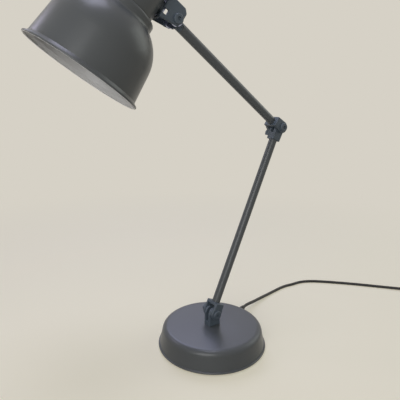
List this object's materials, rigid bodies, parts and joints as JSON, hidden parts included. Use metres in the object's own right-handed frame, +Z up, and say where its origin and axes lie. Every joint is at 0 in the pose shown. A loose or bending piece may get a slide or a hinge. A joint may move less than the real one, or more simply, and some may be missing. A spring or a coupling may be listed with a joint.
{
  "type": "adjustable desk lamp",
  "caption": "Free-standing desk lamp with a round weighted base, hinged tubular arms, a swivelling bell shade and a coiled mains cord with plug.",
  "frame": {"origin": "centre of the foot pad's underside, on the table", "axes": "+Z up, the arms' plane is XZ with the elbow towards +X and the shade towards -X, arm pivots along Y"},
  "size_m": [0.8474, 0.2572, 0.5605],
  "materials": {
    "powder_coat": "dark grey satin powder coat",
    "dark_coat": "near-black satin coat",
    "zinc_steel": "bright zinc plate",
    "cast_weight": "raw casting",
    "foam_rubber": "matt foam rubber",
    "black_pvc": "satin PVC jacket",
    "black_plastic": "moulded, fine grain",
    "nickel": "nickel plate",
    "bulb_opal": "opal diffuser",
    "bulb_white": "moulded white"
  },
  "bodies": {
    "base": {"base_shell": "powder_coat", "base_weight": "cast_weight", "base_cover": "zinc_steel", "base_cover_screws": "zinc_steel", "foot_pad": "foam_rubber", "base_fork": "dark_coat", "base_stud": "zinc_steel", "base_stud_nut": "zinc_steel", "cord_gland": "black_pvc", "mains_cord": "black_pvc", "cord_coil": "black_pvc", "cord_tie": "black_plastic", "mains_plug": "black_plastic", "mains_plug_pins": "nickel"},
    "lower_arm": {"lower_arm_fork": "dark_coat", "lower_arm_tube": "powder_coat", "lower_arm_lead": "black_pvc", "lower_arm_knuckle": "dark_coat", "base_pivot_bolt": "dark_coat", "base_pivot_washers": "zinc_steel", "base_pivot_nut": "dark_coat"},
    "upper_arm": {"upper_arm_fork": "dark_coat", "upper_arm_tube": "powder_coat", "upper_arm_lead": "black_pvc", "upper_arm_knuckle": "dark_coat", "elbow_bolt": "dark_coat", "elbow_washers": "zinc_steel"},
    "elbow_nut": {"elbow_wing_nut": "dark_coat"},
    "head_yoke": {"head_bracket": "dark_coat", "head_bolt": "dark_coat", "head_spacers": "zinc_steel"},
    "head_nut": {"head_wing_nut": "dark_coat"},
    "shade_head": {"shade": "powder_coat", "neck_cup": "powder_coat", "swivel_nipple": "zinc_steel", "swivel_saddle": "dark_coat", "swivel_nuts": "zinc_steel", "holder_bridge": "zinc_steel", "bridge_screws": "zinc_steel", "lampholder": "black_plastic", "holder_nut": "zinc_steel", "holder_ring": "black_plastic", "bulb_globe": "bulb_opal", "bulb_body": "bulb_white", "switch_body": "black_plastic", "switch_ring": "zinc_steel"},
    "button": {"switch_button": "black_plastic"}
  },
  "joints": [
    {"name": "base_tilt", "type": "hinge", "parent": "base", "child": "lower_arm", "pos_m": [0, 0, 0.0552], "axis": [0, 1, 0], "range_deg": [-45, 35]},
    {"name": "elbow_bend", "type": "hinge", "parent": "lower_arm", "child": "upper_arm", "pos_m": [0.12529, 0, 0.34879], "axis": [0, 1, 0], "range_deg": [-37, 77]},
    {"name": "elbow_nut_turn", "type": "hinge", "parent": "upper_arm", "child": "elbow_nut", "pos_m": [0.12529, 0, 0.34879], "axis": [0, 1, 0], "range_deg": [-180, 180]},
    {"name": "head_tilt", "type": "hinge", "parent": "upper_arm", "child": "head_yoke", "pos_m": [-0.07165, 0, 0.4877], "axis": [0, -1, 0], "range_deg": [-85, 70]},
    {"name": "head_nut_turn", "type": "hinge", "parent": "head_yoke", "child": "head_nut", "pos_m": [-0.07165, 0, 0.4877], "axis": [0, 1, 0], "range_deg": [-180, 180]},
    {"name": "shade_swivel", "type": "hinge", "parent": "head_yoke", "child": "shade_head", "pos_m": [-0.12174, 0, 0.52073], "axis": [0.8348, 0, -0.5505], "range_deg": [-68.9, 51.1]},
    {"name": "switch_press", "type": "slide", "parent": "shade_head", "child": "button", "axis": [-0.5439, 0.1547, -0.8248], "range_m": [0, 0.003], "stiffness_N_per_m": 300}
  ]
}
